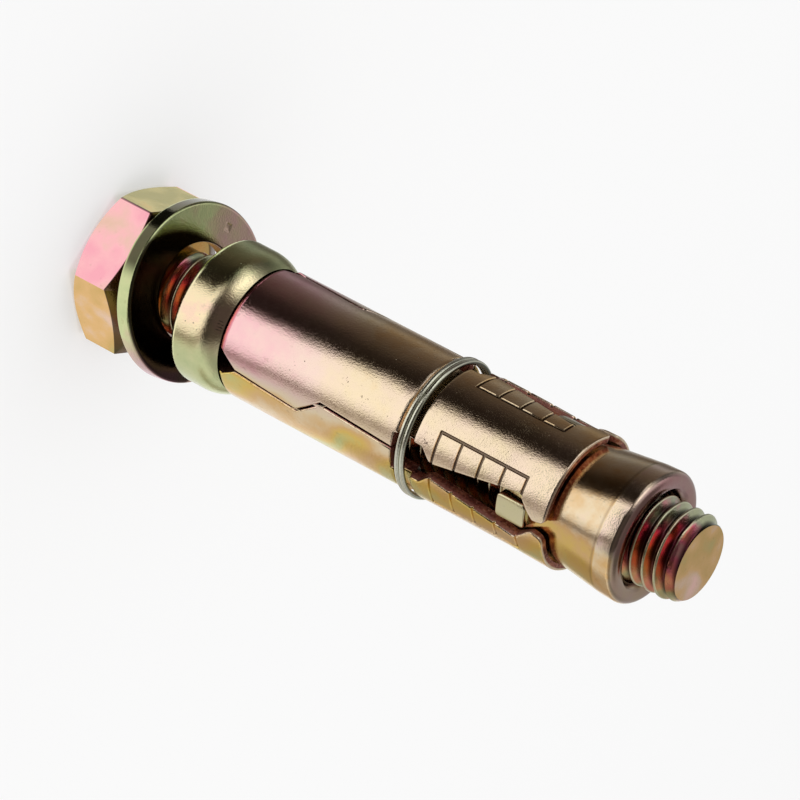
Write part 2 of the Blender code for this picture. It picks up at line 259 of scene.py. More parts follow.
class Signal:
    """A socket that takes part in Python arithmetic."""

    def __init__(self, recipe, socket):
        self.recipe, self.socket = recipe, socket

    def __add__(self, other):
        return self.recipe.math("ADD", self, other)

    def __sub__(self, other):
        return self.recipe.math("SUBTRACT", self, other)

    def __rsub__(self, other):
        return self.recipe.math("SUBTRACT", other, self)

    def __mul__(self, other):
        return self.recipe.math("MULTIPLY", self, other)

    def __truediv__(self, other):
        return self.recipe.math("DIVIDE", self, other)

    __radd__ = __add__
    __rmul__ = __mul__

    def clamp(self):
        return self.recipe.math("ADD", self, 0.0, clamp=True)

    def step(self, low, high):
        """0 below low, 1 above high, smooth between."""
        return self.recipe.add("ShaderNodeMapRange", {"interpolation_type": "SMOOTHSTEP"},
                               {"Value": self, "From Min": low, "From Max": high})

    def hump(self, centre, width):
        """1 at the centre, falling smoothly to 0 at the width on both sides."""
        away = self.recipe.math("ABSOLUTE", self - centre)
        return 1.0 - away.step(0.0, width)


def colour(red, green, blue):
    """A colour as a picture editor writes it, from 0 to 255, made linear for Blender."""
    def linear(value):
        value /= 255
        return value / 12.92 if value <= 0.04045 else ((value + 0.055) / 1.055) ** 2.4
    return (linear(red), linear(green), linear(blue), 1.0)


# %% [markdown]
# ## The film of colour on zinc
#
# Yellow passivation leaves a film some hundred nanometres thick. Its colour depends on
# that thickness, as on a soap bubble: where the dip drained slowly it is green and gold,
# and where it drained fast it is cream and pink. So one colour ramp stands for thickness,
# and each piece says how the thickness changes over it. Slow noise makes the drifts, and
# faster noise makes the small patches inside them.
#
# A piece may also say where its colour is darkened, as painted shade in a stamped line or
# a bore, or as marks and wear, and where it is lightened, as a painted highlight on the crest
# of a thread.

# %% Passivated zinc
FILM = [(0.0, colour(196, 212, 150)), (0.14, colour(222, 222, 152)),
        (0.27, colour(248, 210, 116)), (0.4, colour(246, 202, 140)),
        (0.54, colour(255, 233, 196)), (0.7, colour(255, 226, 210)),
        (0.85, colour(255, 204, 206)), (1.0, colour(226, 138, 150))]


def noise(recipe, place, scale, detail=2.0, roughness=0.5):
    """Noise from 0 to 1 with features of about 1 / scale metres."""
    return recipe.add("ShaderNodeTexNoise", {"noise_dimensions": "3D"},
                      {"Vector": place, "Scale": scale, "Detail": detail,
                       "Roughness": roughness})


def bolt_coordinates(recipe):
    """Place, x, y, z, radius and angle round the bolt, in mm and degrees."""
    place = recipe.add("ShaderNodeTexCoord", output=3)
    split = recipe.add("ShaderNodeSeparateXYZ", inputs={0: place}).socket.node
    x, y, z = (Signal(recipe, split.outputs[i]) * 1000.0 for i in range(3))
    radius = recipe.math("SQRT", x * x + y * y)
    angle = recipe.math("ARCTAN2", x, 0.0 - y) * (180 / pi)
    return place, x, y, z, radius, angle


def shifted(recipe, place, offset):
    """Moves a pattern, so that no two pieces carry the same one."""
    return recipe.add("ShaderNodeMapping", inputs={"Vector": place, "Location": offset})


def passivated_zinc(name, thickness, drift=0.3, mottle=0.1, roughness=0.13, grain=1.0,
                    pits=1.0, waves=0.0, darken=None, lighten=None,
                    offset=(0.0, 0.0, 0.0), colours=FILM, shade=colour(70, 48, 34)):
    """Zinc with its film.

    thickness, darken and lighten are functions of (recipe, x, y, z, radius, angle), in mm
    and degrees. The first gives the place on the ramp, the others a share from 0 to 1.
    """
    recipe = Recipe(name)
    place, x, y, z, radius, angle = bolt_coordinates(recipe)
    pattern = shifted(recipe, place, offset)
    slow = noise(recipe, pattern, 110.0, 2.0) - 0.5
    patches = noise(recipe, pattern, 520.0, 3.0, 0.6) - 0.5
    film = (thickness(recipe, x, y, z, radius, angle) + slow * drift * 2.0
            + patches * mottle * 2.0).clamp()
    base = recipe.ramp(film, colours)

    # Small dull spots, as the dip leaves them
    spots = noise(recipe, pattern, 1500.0, 2.0).step(0.66, 0.74)
    base = recipe.mix(spots * 0.16, base, colour(150, 130, 90))
    # A darkening share mixes in the shade colour: painted shade on most pieces, real marks
    # and wear on some. A lightening share makes the colour paler, as for the painted
    # highlights on the thread's crests.
    if darken:
        base = recipe.mix(darken(recipe, x, y, z, radius, angle), base, shade)
    if lighten:
        base = recipe.mix(lighten(recipe, x, y, z, radius, angle), base,
                          colour(226, 226, 190))

    # Pits: dark points of about a tenth of a millimetre, in swarms
    cells = recipe.add("ShaderNodeTexVoronoi", {"feature": "F1"},
                       {"Vector": pattern, "Scale": 1500.0, "Randomness": 1.0})
    chosen = noise(recipe, pattern, 230.0, 2.0).step(0.6, 0.7)
    ragged = cells + (noise(recipe, pattern, 6000.0, 2.0) - 0.5) * 0.35
    pit = (1.0 - ragged.step(0.02, 0.1)) * chosen * pits
    base = recipe.mix(pit * 0.8, base, colour(62, 42, 28))

    # Grain of the plating breaks up the edge of every reflection, and waves bend it.
    # Heights are in millimetres.
    fine = noise(recipe, pattern, 5200.0, 2.0, 0.7)
    soft = noise(recipe, pattern, 1400.0, 2.0)
    height = fine * (0.022 * grain) + soft * (0.004 * grain) - pit * 0.02
    if waves:
        height = height + noise(recipe, pattern, 170.0, 1.0) * waves
    normal = recipe.add("ShaderNodeBump", inputs={"Strength": 1.0, "Distance": 0.001,
                                                  "Height": height})
    rough = (soft - 0.5) * 0.16 + roughness + pit * 0.3 + spots * 0.08

    shader = recipe.add("ShaderNodeBsdfPrincipled", inputs={
        "Base Color": base, "Metallic": 1.0, "Roughness": rough.clamp(), "Normal": normal})
    recipe.add("ShaderNodeOutputMaterial", inputs={"Surface": shader})
    return recipe.material


def sheared_steel(name):
    """A cut edge: torn grain under the same dip, reddish brown and dull, with a painted
    highlight along its outer edge and painted shade near the seam.
    """
    recipe = Recipe(name)
    place, x, y, z, radius, angle = bolt_coordinates(recipe)
    torn = noise(recipe, place, 3200.0, 3.0, 0.7)
    patches = noise(recipe, place, 420.0, 2.0)
    base = recipe.ramp(patches, [(0.25, colour(96, 50, 44)), (0.5, colour(150, 84, 66)),
                                 (0.62, colour(178, 112, 84)), (0.8, colour(150, 84, 74))])
    base = recipe.mix(torn.step(0.52, 0.62) * 0.6, base, colour(46, 26, 24))
    base = recipe.mix((1.0 - torn.step(0.36, 0.46)) * 0.6, base, colour(214, 164, 140))
    grainy = radius.step(6.7, 7.1) * torn.step(0.4, 0.52) * (1.0 - z.step(62.0, 62.6))
    base = recipe.mix(grainy * 0.6, base, colour(206, 146, 134))
    # Painted highlight: a pale band along the outer edge of the cut.
    base = recipe.mix(radius.step(7.3, 7.42) * 0.8, base, colour(240, 224, 190))
    # Painted shade: the cut edges near the seam are nearly black.
    base = recipe.mix((1.0 - z.step(42.0, 44.0)) * 0.85, base, colour(30, 16, 14))
    normal = recipe.add("ShaderNodeBump", inputs={"Strength": 1.0, "Distance": 0.001,
                                                  "Height": torn * 0.06})
    shader = recipe.add("ShaderNodeBsdfPrincipled", inputs={
        "Base Color": base, "Metallic": 0.85, "Roughness": torn * 0.3 + 0.28,
        "Normal": normal})
    recipe.add("ShaderNodeOutputMaterial", inputs={"Surface": shader})
    return recipe.material


# %% [markdown]
# ## The hex head and neck
#
# A bolt's head is forged, and its two ends are turned to a cone, so every flat ends in a
# curve. The same steps make it here: a lathe gives the cones, six straight cuts give the
# flats, and a small bevel rounds what the die rounds. The neck is as thick as the blank
# that the thread is rolled on.

# %% Head and neck
HEAD_HEIGHT = 6.2 * MM
HEAD_ACROSS_FLATS = 16.8 * MM
HEAD_CORNER_ANGLE = 24.2
HEAD_TOP_RADIUS = 8.0 * MM
HEAD_TOP_CONE = radians(33)
HEAD_BEARING_RADIUS = 7.2 * MM
HEAD_BEARING_CONE = radians(20)
HEAD_EDGE = 0.14 * MM
NECK_RADIUS = 4.5 * MM
NECK_FILLET = 0.3 * MM
NECK_END = HEAD_HEIGHT + 2.4 * MM
half_flats = HEAD_ACROSS_FLATS / 2
blank = half_flats / cos(radians(30)) * 1.02

bm_bolt = lathe([
    (0.0, 0.0),
    (HEAD_TOP_RADIUS, 0.0),
    (blank, (blank - HEAD_TOP_RADIUS) * tan(HEAD_TOP_CONE)),
    (blank, HEAD_HEIGHT - (blank - HEAD_BEARING_RADIUS) * tan(HEAD_BEARING_CONE)),
    (HEAD_BEARING_RADIUS, HEAD_HEIGHT),
    (NECK_RADIUS + NECK_FILLET, HEAD_HEIGHT),
    (NECK_RADIUS, HEAD_HEIGHT + NECK_FILLET),
    (NECK_RADIUS, NECK_END),
    (0.0, NECK_END),
], closed=False)
for corner in range(6):
    outward = around(1.0, HEAD_CORNER_ANGLE + 30 + corner * 60, 0.0)
    cut_and_close(bm_bolt, outward * half_flats, outward)
bmesh.ops.recalc_face_normals(bm_bolt, faces=bm_bolt.faces)
hard = [e for e in bm_bolt.edges
        if len(e.link_faces) == 2 and e.calc_face_angle() > radians(14)
        and max(v.co.to_2d().length for v in e.verts) > HEAD_BEARING_RADIUS * 0.98]
bmesh.ops.bevel(bm_bolt, geom=hard, offset=HEAD_EDGE, segments=2, profile=0.5,
                affect="EDGES", material=-1, clamp_overlap=True)
print("head: edges rounded", len(hard), "faces", len(bm_bolt.faces))

# %% [markdown]
# ## The rolled thread
#
# The thread is the part of a bolt that the eye knows best, and its ridges show at the tip,
# behind the washer and through the gaps in the shield. Plain rings would look wrong at the
# first glance, so it is a true screw: one pitch of the thread's profile is spun round the
# bolt and climbs 1.5 mm in each turn, as M10 does. Spinning one turn and copying it upwards
# takes a tenth of the time of spinning all of them. A flat cut trims both ends, the start
# fades into the neck, and a cone takes the crests down at the tip.

# %% Thread
PITCH = 1.5 * MM
THREAD_ROOT = 4.06 * MM
THREAD_STEPS = 72
THREAD_PHASE = 200.0
THREAD_FADE = 1.1 * MM
TIP_FACE_RADIUS = 4.2 * MM
TIP_CHAMFER_LENGTH = 1.1 * MM


def screw(profile, start, turns, phase, steps=THREAD_STEPS):
    """Winds one pitch of a profile of (radius, height) points into a right-hand screw."""
    bm_turn = bmesh.new()
    verts = [bm_turn.verts.new(around(radius, phase, start + height))
             for radius, height in profile]
    edges = [bm_turn.edges.new(pair) for pair in zip(verts, verts[1:])]
    bmesh.ops.spin(bm_turn, geom=verts + edges, cent=(0, 0, 0), axis=(0, 0, 1),
                   dvec=(0, 0, PITCH / steps), angle=2 * pi, steps=steps)
    mesh = bpy.data.meshes.new("turn")
    bm_turn.to_mesh(mesh)
    bm_turn.free()
    bm = bmesh.new()
    for _ in range(turns):
        bm.from_mesh(mesh)
        mesh.transform(Matrix.Translation((0, 0, PITCH)))
    bpy.data.meshes.remove(mesh)
    bmesh.ops.remove_doubles(bm, verts=bm.verts, dist=2e-6)
    bmesh.ops.recalc_face_normals(bm, faces=bm.faces)
    return bm


def thread_profile(root, crest, flank=0.52 * MM, crest_flat=0.085 * MM):
    """One pitch: half a root, a flank, the crest, the other flank and half a root."""
    middle = PITCH / 2
    half = [(root, 0.0), (root + 0.015 * MM, 0.07 * MM), (root + 0.08 * MM, 0.14 * MM)]
    flank_start = middle - crest_flat - flank
    for share in (0.35, 0.6, 0.82):
        half.append((root + (crest - root) * share, flank_start + flank * share * 1.02))
    half += [(crest - 0.05 * MM, middle - crest_flat - 0.035 * MM),
             (crest - 0.01 * MM, middle - crest_flat + 0.02 * MM)]
    other = [(radius, PITCH - height) for radius, height in reversed(half)]
    return half + [(crest, middle)] + other


turns = int((TIP - NECK_END) / PITCH) + 3
bm_thread = screw(thread_profile(THREAD_ROOT, THREAD_RADIUS), NECK_END - 1.5 * PITCH,
                  turns, THREAD_PHASE)
cut_and_close(bm_thread, (0, 0, NECK_END), (0, 0, -1))
cut_and_close(bm_thread, (0, 0, TIP), (0, 0, 1))
slope = (THREAD_RADIUS - TIP_FACE_RADIUS) / TIP_CHAMFER_LENGTH
for vert in bm_thread.verts:
    flat = vert.co.to_2d()
    if not flat.length:
        continue
    fade = min(1.0, max(0.0, (vert.co.z - NECK_END) / THREAD_FADE))
    fade = fade * fade * (3 - 2 * fade)
    radius = NECK_RADIUS + (flat.length - NECK_RADIUS) * fade
    radius = min(radius, TIP_FACE_RADIUS + (TIP - vert.co.z) * slope)
    flat *= radius / flat.length
    vert.co.x, vert.co.y = flat
bmesh.ops.recalc_face_normals(bm_thread, faces=bm_thread.faces)
print("thread:", turns, "turns,", len(bm_thread.faces), "faces")
join_into(bm_bolt, bm_thread)

# %% [markdown]
# ## Colour on the bolt
#
# Each flat of the head drained in its own direction in the dip, so neighbouring flats have
# different films: pink on one, amber on the next, olive on the third. A ramp with constant
# steps gives each flat its place. The thread's film runs to red and green, its roots are
# painted dark as shade, and its crests are painted pale as highlights.

# %% Bolt colours
HEAD_FILM = [(0.0, colour(158, 150, 86)), (0.18, colour(186, 172, 106)),
             (0.34, colour(206, 168, 98)), (0.48, colour(222, 178, 116)),
             (0.6, colour(224, 190, 158)), (0.74, colour(240, 196, 180)),
             (0.88, colour(255, 190, 194)), (1.0, colour(252, 176, 188))]
FLAT_PLACES = (0.88, 0.4, 0.62, 0.3, 0.7, 0.04)
FIRST_EDGE = HEAD_CORNER_ANGLE - 60
LARGE_FLAT_AREA = 20 * MM * MM


def head_film(recipe, x, y, z, radius, angle):
    turn = recipe.math("FRACT", (angle + (360 - FIRST_EDGE)) / 360.0)
    side = recipe.ramp(turn, [(index / 6, (place,) * 3)
                              for index, place in enumerate(FLAT_PLACES)],
                       interpolation="CONSTANT")
    end = z.step(75.0, 77.5)
    patches = noise(recipe, recipe.add("ShaderNodeTexCoord", output=3), 260.0, 1.0) - 0.5
    bearing = z.step(6.08, 6.16) * (1.0 - radius.step(7.2, 7.5)) * (1.0 - z.step(7.0, 9.0))
    return ((side + patches * 0.5) * (1.0 - end) * (1.0 - bearing)
            + (patches * 0.9 + 0.36) * end
            + bearing * 0.36)


def head_shade(recipe, x, y, z, radius, angle):
    """Painted shade: the washer's shadow and reflection on the cone behind the flats,
    and a painted dark reflection on the edge of pink and olive.
    """
    cone = (z + (radius - HEAD_BEARING_RADIUS / MM) * tan(HEAD_BEARING_CONE)
            - HEAD_HEIGHT / MM).step(-0.14, -0.03)
    edge = 1.0 - recipe.math("ABSOLUTE", angle - FIRST_EDGE).step(0.5, 1.1)
    return (cone * (1.0 - z.step(7.0, 9.0)) * 0.75
            + edge * radius.step(8.9, 9.1) * 0.7).clamp()


THREAD_FILM = [(0.0, colour(156, 160, 122)), (0.2, colour(190, 174, 120)),
               (0.34, colour(214, 156, 108)), (0.48, colour(220, 128, 104)),
               (0.6, colour(224, 110, 134)), (0.74, colour(214, 150, 150)),
               (0.88, colour(176, 174, 150)), (1.0, colour(196, 200, 160))]


def thread_film(recipe, x, y, z, radius, angle):
    """Green on the upper side, red in front, tan below, and rusty inside the shield."""
    place = recipe.add("ShaderNodeTexCoord", output=3)
    bands = noise(recipe, shifted(recipe, place, (0.02, 0.0, 0.01)), 300.0, 2.0) - 0.5
    inside = z.step(19.0, 21.0) * (1.0 - z.step(60.0, 62.0))
    side = 0.95 - angle.step(-75.0, -5.0) * 0.4 - angle.step(15.0, 60.0) * 0.25
    return (bands * 1.1 + side) * (1.0 - inside) + (bands * 0.3 + 0.36) * inside


# Painted shade: the thread's roots are darkened, less so inside the shield.
def thread_root_painted_shade(recipe, x, y, z, radius, angle):
    inside = z.step(19.0, 21.0) * (1.0 - z.step(60.0, 62.0))
    return (1.0 - radius.step(4.1, 4.5)) * (0.8 - inside * 0.4)


# Painted highlight: the thread's crests are made paler.
def thread_crest_painted_highlight(recipe, x, y, z, radius, angle):
    return radius.step(4.74, 4.86) * 0.75


bolt_film = passivated_zinc("bolt zinc", head_film, drift=0.24, mottle=0.14,
                            darken=head_shade, colours=HEAD_FILM, shade=colour(58, 38, 30))
thread_zinc = passivated_zinc("thread zinc", thread_film, drift=0.1, mottle=0.15,
                              roughness=0.15, pits=0.5, colours=THREAD_FILM,
                              darken=thread_root_painted_shade, lighten=thread_crest_painted_highlight,
                              shade=colour(24, 14, 12))
for face in bm_bolt.faces:
    middle = face.calc_center_median()
    face.material_index = int(middle.z > NECK_END - 1e-5
                              and not (face.normal.z > 0.9 and middle.z > TIP - 1e-5))
bolt = finish_piece("threaded_bolt", bm_bolt, "bolt", "hex_bolt",
                    [bolt_film, thread_zinc])
for polygon in bolt.data.polygons:
    if polygon.area > LARGE_FLAT_AREA:
        polygon.use_smooth = False

# %% [markdown]
# ## The flat washer
#
# Washers are punched from strip, so one rim is rounded and the other is nearly sharp. This
# one hangs loose and has caught on the thread at a lean. It is turned flat and then leaned
# as one piece. Straight cuts in a few faces of its front make room for one small square
# dent, because a dent needs vertices where the plain ring has none.

# %% Washer
WASHER_RADIUS = 10.045 * MM
WASHER_BORE = 5.6 * MM
WASHER_THICKNESS = 1.9 * MM
WASHER_LEAN = 15.2
WASHER_LOW_SIDE = -32.7
WASHER_SIDEWAYS = 0.3 * MM
WASHER_SEAT = 0.25 * MM
DENT_PLACE = (-8.22 * MM, 0.87 * MM, 9.2 * MM)
DENT_HALF_WIDTH = 0.5 * MM
DENT_FLOOR = 0.28 * MM
DENT_DEPTH = 0.1 * MM

outline = rounded([
    (WASHER_BORE, 0.0, 0.25 * MM),
    (WASHER_RADIUS, 0.0, 0.12 * MM),
    (WASHER_RADIUS, WASHER_THICKNESS, 0.35 * MM),
    (WASHER_BORE, WASHER_THICKNESS, 0.14 * MM),
])
bm_washer = lathe(outline)
lean = radians(WASHER_LEAN)
low = around(1.0, WASHER_LOW_SIDE, 0.0)
across = Vector((-low.y, low.x, 0.0))
inset = WASHER_THICKNESS / 2 * sin(lean)
back = HEAD_HEIGHT + WASHER_SEAT / cos(lean) + HEAD_BEARING_RADIUS * tan(lean)
centre = (low * -inset + Vector((0, 0, back + inset * tan(lean)))
          + across * -WASHER_SIDEWAYS)
washer_axis = Vector((low.x * sin(lean), low.y * sin(lean), cos(lean)))
tilt = Vector((0, 0, 1)).rotation_difference(washer_axis).to_matrix().to_4x4()
place = Matrix.Translation(centre) @ tilt
dent = place.inverted() @ Vector(DENT_PLACE)
cut_places = (0.6 * MM, 0.54 * MM, DENT_HALF_WIDTH, 0.43 * MM, 0.35 * MM, DENT_FLOOR)
cuts = [side * size for size in cut_places for side in (-1, 1)]
for cut in cuts:
    for normal in (Vector((1, 0, 0)), Vector((0, 1, 0))):
        near = [f for f in bm_washer.faces if f.normal.z > 0.99
                and f.calc_center_median().to_2d().angle(dent.to_2d()) < radians(7)]
        around_dent = ({e for f in near for e in f.edges}
                       | {v for f in near for v in f.verts})
        bmesh.ops.bisect_plane(bm_washer, geom=near + list(around_dent), dist=1e-7,
                               plane_co=dent + normal * cut, plane_no=normal)
for vert in bm_washer.verts:
    away = max(abs(vert.co.x - dent.x), abs(vert.co.y - dent.y))
    if vert.co.z > WASHER_THICKNESS / 2 and away < DENT_HALF_WIDTH:
        share = min(1.0, (DENT_HALF_WIDTH - away) / (DENT_HALF_WIDTH - DENT_FLOOR))
        vert.co.z -= DENT_DEPTH * share * share * (3 - 2 * share)
bmesh.ops.transform(bm_washer, matrix=place, verts=bm_washer.verts)
washer_middle = (place @ Vector((0, 0, WASHER_THICKNESS / 2))).dot(washer_axis) / MM

WASHER_FILM = [(0.0, colour(186, 198, 146)), (0.25, colour(204, 210, 156)),
               (0.5, colour(208, 190, 156)), (0.75, colour(214, 178, 168)),
               (1.0, colour(222, 170, 178))]


def washer_film(recipe, x, y, z, radius, angle):
    low = angle.step(35.0, 70.0) * (1.0 - y.step(0.0, 3.0))
    return 0.12 + y.step(-4.5, 1.5) * 0.6 + low * 0.5


def washer_shade(recipe, x, y, z, radius, angle):
    """Painted reflection and shade: nearly black on the front inside a curve, where the face
    mirrors the ferrule's shaded end, and on the upper half of the rim.
    """
    along = (x * washer_axis.x + y * washer_axis.y + z * washer_axis.z) - washer_middle
    turn = ((angle + 99.0) / 87.0).clamp() * (1.0 - angle.step(100.0, 150.0))
    edge = recipe.math("POWER", turn, 1.9) * 4.4 + 6.0
    front = (1.0 - (radius - edge).step(-0.4, 0.35)) * along.step(0.7, 0.9)
    rim = (1.0 - angle.step(-2.0, 12.0)) * angle.step(-110.0, -85.0) * radius.step(9.2, 9.5)
    side = 1.0 - recipe.math("ABSOLUTE", along).step(0.6, 0.85)
    return (front * 0.93 + rim * side * 0.85).clamp()


washer_zinc = passivated_zinc("washer zinc", washer_film, drift=0.4, mottle=0.34,
                              grain=0.6, waves=0.05, darken=washer_shade,
                              offset=(0.03, 0.01, 0.0), colours=WASHER_FILM,
                              shade=colour(44, 24, 22))
washer = finish_piece("plain_washer", bm_washer, "washer", "flat_washer",
                      [washer_zinc])

# %% [markdown]
# ## The ferrule
#
# The ferrule is a deep-drawn cup. Its closed end has a generous corner, and its mouth is
# crimped in over the segments on a soft curve that tightens towards the mouth. The inner
# skin follows the outer one, and the wall between them thins as the crimp draws it.

# %% Ferrule
LIP_RADIUS = 7.15 * MM
SEGMENT_NECK_RADIUS = 6.6 * MM
FERRULE_GAP = 0.25 * MM
FERRULE_WALL = 0.9 * MM
FERRULE_LENGTH = 6.0 * MM
FERRULE_BORE = 5.6 * MM
FERRULE_CORNER = 0.8 * MM
CRIMP_LENGTH = 3.0 * MM
CRIMP_CURVE = 2.2
MOUTH_THINNING = 0.45
MOUTH_EDGE = 0.4 * MM

inner = LIP_RADIUS + FERRULE_GAP
outer = inner + FERRULE_WALL
mouth = SEGMENT_NECK_RADIUS + FERRULE_GAP
crimp_start = FERRULE_LENGTH - CRIMP_LENGTH
drop = outer - mouth - MOUTH_EDGE
outside, inside = [], []
for index in range(17):
    share = index / 16
    radius = outer - drop * share ** CRIMP_CURVE
    height = crimp_start + CRIMP_LENGTH * share
    slope = atan2(drop * CRIMP_CURVE * share ** (CRIMP_CURVE - 1), CRIMP_LENGTH)
    wall = FERRULE_WALL * (1 - MOUTH_THINNING * share)
    outside.append((radius, height))
    inside.append((radius - wall * cos(slope), height - wall * sin(slope)))
outline = [(FERRULE_BORE + 0.05 * MM, 0.0), (outer - FERRULE_CORNER - 0.05 * MM, 0.0)]
outline += arc((outer - FERRULE_CORNER, FERRULE_CORNER), FERRULE_CORNER, -90, 0, steps=10)
outline += [(outer, FERRULE_CORNER + 0.06 * MM)] + outside + inside[::-1]
outline += [(inner, FERRULE_WALL), (FERRULE_BORE + 0.05 * MM, FERRULE_WALL),
            (FERRULE_BORE, FERRULE_WALL - 0.08 * MM), (FERRULE_BORE, 0.08 * MM)]
bm_ferrule = lathe(outline)
bmesh.ops.translate(bm_ferrule, vec=(0, 0, FERRULE_START), verts=bm_ferrule.verts)


FERRULE_FILM = [(0.0, colour(208, 220, 164)), (0.3, colour(232, 234, 178)),
                (0.6, colour(250, 236, 190)), (0.9, colour(255, 232, 192)),
                (1.0, colour(255, 222, 194))]


def ferrule_film(recipe, x, y, z, radius, angle):
    mouth = z.step(17.4, 18.4) * angle.hump(-30.0, 40.0)
    return 0.2 + angle.hump(9.0, 40.0) * 0.7 + mouth * 0.3


def ferrule_shade(recipe, x, y, z, radius, angle):
    """The closed end's face and bore are painted dark, as the shade under the cup that the
    washer mirrors, and three ticks mark the mouth.
    """
    end = (1.0 - z.step(13.75, 14.1)) * (1.0 - radius.step(7.4, 7.9))
    stripes = recipe.math("SINE", angle * 2.5).step(0.2, 0.8)
    place = recipe.add("ShaderNodeTexCoord", output=3)
    worn = noise(recipe, place, 2500.0, 2.0).step(0.35, 0.6) * radius.step(7.2, 7.3)
    ticks = (stripes * angle.hump(12.0, 5.5).step(0.1, 0.3)
             * z.hump(19.25, 0.4).step(0.1, 0.4) * worn)
    return (end * 0.85 + ticks * 0.7).clamp()


ferrule_zinc = passivated_zinc("ferrule zinc", ferrule_film, drift=0.25, mottle=0.28,
                               waves=0.15, darken=ferrule_shade, colours=FERRULE_FILM,
                               offset=(0.0, 0.05, 0.02))
ferrule = finish_piece("end_cup", bm_ferrule, "shield", "end_ferrule",
                       [ferrule_zinc], sharp=40)

# %% [markdown]
# ## The shield segments
#
# A press blanks each segment from flat steel, stamps its marks and curls it. The mesh goes
# the same way. A flat outline is extruded to the wall's thickness, five insets round its
# upper rim as a blanking die does, and straight cuts give it the rows and columns that the
# bends and the stamped lines need. Then each point is carried onto the tube. The ladder
# pattern beside the waist is two long grooves and ten short ones. Working flat keeps them
# straight. The ring's groove is deep enough to clear the wire when the segments spread.

# %% Segment outline
SEGMENT_WALL = 1.35 * MM
SEAM_GAP = 0.25 * MM
GROOVE_FROM_END = 19.55 * MM
GROOVE_WIDTH = 2.2 * MM
GROOVE_DEPTH = 0.66 * MM
FOOT_FLARE = 0.15 * MM
FOOT_WALL = 0.8 * MM
RELIEF_FROM_END = 19.9 * MM
RELIEF_LENGTH = 3.6 * MM


def segment_outline():
    """The blank, laid flat: (arc length, distance along), the corners rounded."""
    end = SEGMENT_LENGTH

    def flat(angle, along, corner=0.0, shift=0.0):
        return radians(angle) * SHIELD_RADIUS + shift, along, corner

    seam = [(64.0, 7.4), (70.3, 15.85), (52.4, 18.95)]
    seam = [(angle, along * MM) for angle, along in seam] + [(57.0, end - RELIEF_FROM_END)]

    def seam_corner(along):
        return 0.12 * MM if 10 * MM < along < 20 * MM else 0.0

    near = [flat(angle, along, seam_corner(along), shift=-SEAM_GAP / 2)
            for angle, along in seam]
    far = [flat(angle - 120, along, seam_corner(along), shift=SEAM_GAP / 2)
           for angle, along in seam]

    def expanding_end(side):
        return [
            flat(side * 42.9, end - RELIEF_FROM_END, 0.15 * MM),
            flat(side * 42.9, end - RELIEF_FROM_END + RELIEF_LENGTH, 0.5 * MM),
            flat(side * 53.5, end - 14.95 * MM, 1.0 * MM),
            flat(side * 38.5, end - 3.8 * MM, 0.5 * MM),
            flat(side * 50.5, end - 2.2 * MM),
            flat(side * 54.7, end - 1.45 * MM, 0.375 * MM),
            flat(side * 52.7, end, 0.75 * MM),
        ]

    return rounded([flat(-46.0, 0.0, 0.4 * MM), flat(51.0, 0.0, 0.4 * MM),
                    flat(51.0, 5.45 * MM)] + near + expanding_end(1)
                   + expanding_end(-1)[::-1] + far[::-1] + [flat(-46.0, 5.45 * MM)],
                   steps=5, support=0)


# %% Segment section
def segment_profile():
    """Rows of (distance along, outer radius, inner radius)."""
    bore = SHIELD_RADIUS - SEGMENT_WALL
    groove_start = SEGMENT_LENGTH - GROOVE_FROM_END
    groove_end = groove_start + GROOVE_WIDTH
    groove = SHIELD_RADIUS - GROOVE_DEPTH
    foot = SHIELD_RADIUS + FOOT_FLARE
    taper = SEGMENT_LENGTH - (foot - FOOT_WALL - bore) / tan(radians(7))
    neck_bore = SEGMENT_NECK_RADIUS - 1.215 * MM
    return [
        (0.0, LIP_RADIUS, LIP_RADIUS - SEGMENT_WALL),
        (1.2 * MM, LIP_RADIUS, LIP_RADIUS - SEGMENT_WALL),
        (1.8 * MM, SEGMENT_NECK_RADIUS, neck_bore),
        (4.15 * MM, SEGMENT_NECK_RADIUS, neck_bore),
        (4.5 * MM, SEGMENT_NECK_RADIUS + 0.06 * MM, neck_bore),
        (4.85 * MM, SHIELD_RADIUS - 0.46 * MM, bore - 0.4 * MM),
        (5.0 * MM, SHIELD_RADIUS - 0.32 * MM, bore - 0.25 * MM),
        (5.3 * MM, SHIELD_RADIUS - 0.13 * MM, bore - 0.05 * MM),
        (5.42 * MM, SHIELD_RADIUS - 0.07 * MM, bore),
        (5.55 * MM, SHIELD_RADIUS - 0.015 * MM, bore),
        (5.75 * MM, SHIELD_RADIUS, bore),
        (groove_start - 0.1 * MM, SHIELD_RADIUS, bore),
        (groove_start, SHIELD_RADIUS - 0.04 * MM, bore - 0.04 * MM),
        (groove_start + 0.16 * MM, groove + 0.03 * MM, bore - GROOVE_DEPTH),
        (groove_start + 0.26 * MM, groove, bore - GROOVE_DEPTH),
        (groove_end - 0.26 * MM, groove, bore - GROOVE_DEPTH),
        (groove_end - 0.16 * MM, groove + 0.03 * MM, bore - GROOVE_DEPTH),
        (groove_end, SHIELD_RADIUS - 0.04 * MM, bore - 0.04 * MM),
        (groove_end + 0.1 * MM, SHIELD_RADIUS, bore),
        (taper, SHIELD_RADIUS, bore),
        (SEGMENT_LENGTH - 1.6 * MM, foot - 0.04 * MM, foot - FOOT_WALL - 0.1 * MM),
        (SEGMENT_LENGTH, foot, foot - FOOT_WALL),
    ]


def radii_at(profile, along):
    """Outer and inner radius at a distance along the segment."""
    for (start, out_a, in_a), (end, out_b, in_b) in zip(profile, profile[1:]):
        if along <= end:
            share = (along - start) / (end - start)
            return out_a + (out_b - out_a) * share, in_a + (in_b - in_a) * share
    return profile[-1][1:]


